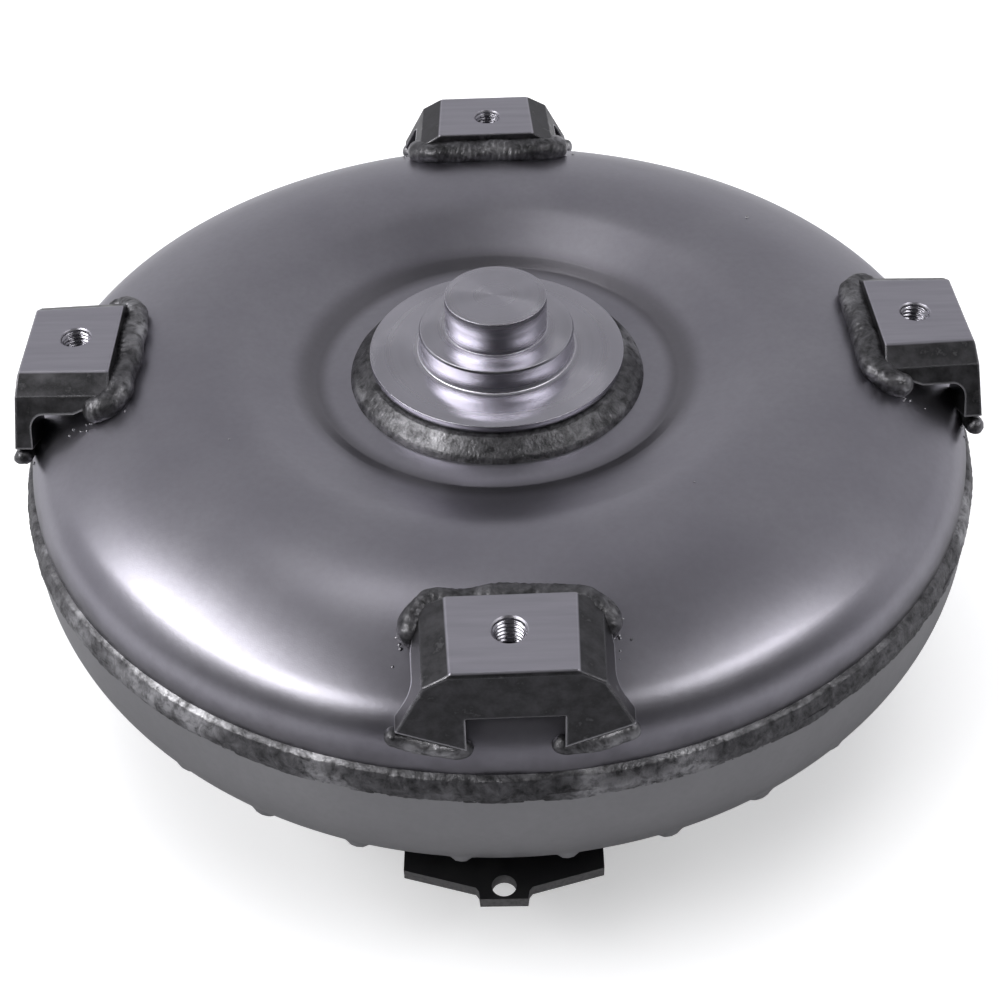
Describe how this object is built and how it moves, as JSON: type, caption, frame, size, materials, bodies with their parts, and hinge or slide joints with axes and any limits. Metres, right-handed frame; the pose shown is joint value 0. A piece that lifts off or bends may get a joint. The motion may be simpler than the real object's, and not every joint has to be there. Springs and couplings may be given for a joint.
{
  "type": "torque converter",
  "caption": "Welded three-element torque converter with a domed cover, pilot pin, saddle-shaped drive lugs, slotted pump hub, turbine, stator and one-way clutch inside.",
  "frame": {"origin": "centre of the lug bolt circle, in the plane of the four machined lug faces", "axes": "+Z along the rotation axis, out of the pilot pin towards the engine; -Y towards the front lug, +X towards the right lug"},
  "size_m": [0.3368, 0.3368, 0.1623],
  "materials": {
    "blasted_steel": "satin, bead-blasted pressed steel",
    "machined_steel": "turned and milled, light oil",
    "forged_steel": "blasted forging with milled edges",
    "weld_bead": "rough rippled weld",
    "hub_steel": "ground",
    "black_paint": "black paint with bare cut edges",
    "pressed_steel": "oily pressed sheet",
    "blade_steel": "oily pressed sheet",
    "cast_aluminium": "die cast",
    "bearing_steel": "hardened and ground",
    "spring_steel": "blued"
  },
  "bodies": {
    "housing": {"front_cover": "blasted_steel", "pilot_hub": "machined_steel", "pilot_weld": "weld_bead", "drive_lug_front": "forged_steel", "drive_lug_right": "forged_steel", "drive_lug_rear": "forged_steel", "drive_lug_left": "forged_steel", "lug_welds": "weld_bead", "seam_weld": "weld_bead", "impeller_shell": "blasted_steel", "impeller_hub": "hub_steel", "impeller_hub_weld": "weld_bead", "transport_strap": "black_paint", "strap_circlip": "spring_steel", "impeller_core_ring": "pressed_steel", "impeller_blades": "blade_steel", "cover_race": "bearing_steel", "impeller_race": "bearing_steel"},
    "turbine": {"turbine_shell": "pressed_steel", "turbine_blades": "blade_steel", "turbine_core_ring": "pressed_steel", "turbine_hub": "hub_steel", "turbine_rivets": "machined_steel", "turbine_front_race": "bearing_steel", "turbine_rear_race": "bearing_steel"},
    "inner_race": {"clutch_inner_race": "hub_steel"},
    "stator": {"stator_wheel": "cast_aluminium", "clutch_outer_race": "hub_steel", "clutch_rollers": "bearing_steel", "clutch_springs": "spring_steel", "stator_front_cap": "cast_aluminium", "stator_rear_cap": "cast_aluminium", "front_snap_ring": "spring_steel", "rear_snap_ring": "spring_steel", "stator_front_race": "bearing_steel", "stator_rear_race": "bearing_steel"},
    "front_cage": {"front_bearing_cage": "pressed_steel", "front_bearing_needles": "bearing_steel"},
    "middle_cage": {"middle_bearing_cage": "pressed_steel", "middle_bearing_needles": "bearing_steel"},
    "rear_cage": {"rear_bearing_cage": "pressed_steel", "rear_bearing_needles": "bearing_steel"}
  },
  "joints": [
    {"name": "turbine_spin", "type": "hinge", "parent": "housing", "child": "turbine", "pos_m": [0, 0, -0.035], "axis": [0, 0, 1], "continuous": true},
    {"name": "inner_race_spin", "type": "hinge", "parent": "housing", "child": "inner_race", "pos_m": [0, 0, -0.0615], "axis": [0, 0, 1], "continuous": true},
    {"name": "stator_spin", "type": "hinge", "parent": "inner_race", "child": "stator", "pos_m": [0, 0, -0.0615], "axis": [0, 0, 1], "continuous": true},
    {"name": "front_cage_spin", "type": "hinge", "parent": "housing", "child": "front_cage", "pos_m": [0, 0, -0.0283], "axis": [0, 0, 1], "continuous": true},
    {"name": "middle_cage_spin", "type": "hinge", "parent": "housing", "child": "middle_cage", "pos_m": [0, 0, -0.0433], "axis": [0, 0, 1], "continuous": true},
    {"name": "rear_cage_spin", "type": "hinge", "parent": "inner_race", "child": "rear_cage", "pos_m": [0, 0, -0.0797], "axis": [0, 0, 1], "continuous": true}
  ],
  "couplings": [
    {"joint": "front_cage_spin", "follows": "turbine_spin", "ratio": 0.5},
    {"joint": "middle_cage_spin", "follows": "turbine_spin", "ratio": 0.5},
    {"joint": "rear_cage_spin", "follows": "stator_spin", "ratio": 0.5}
  ]
}
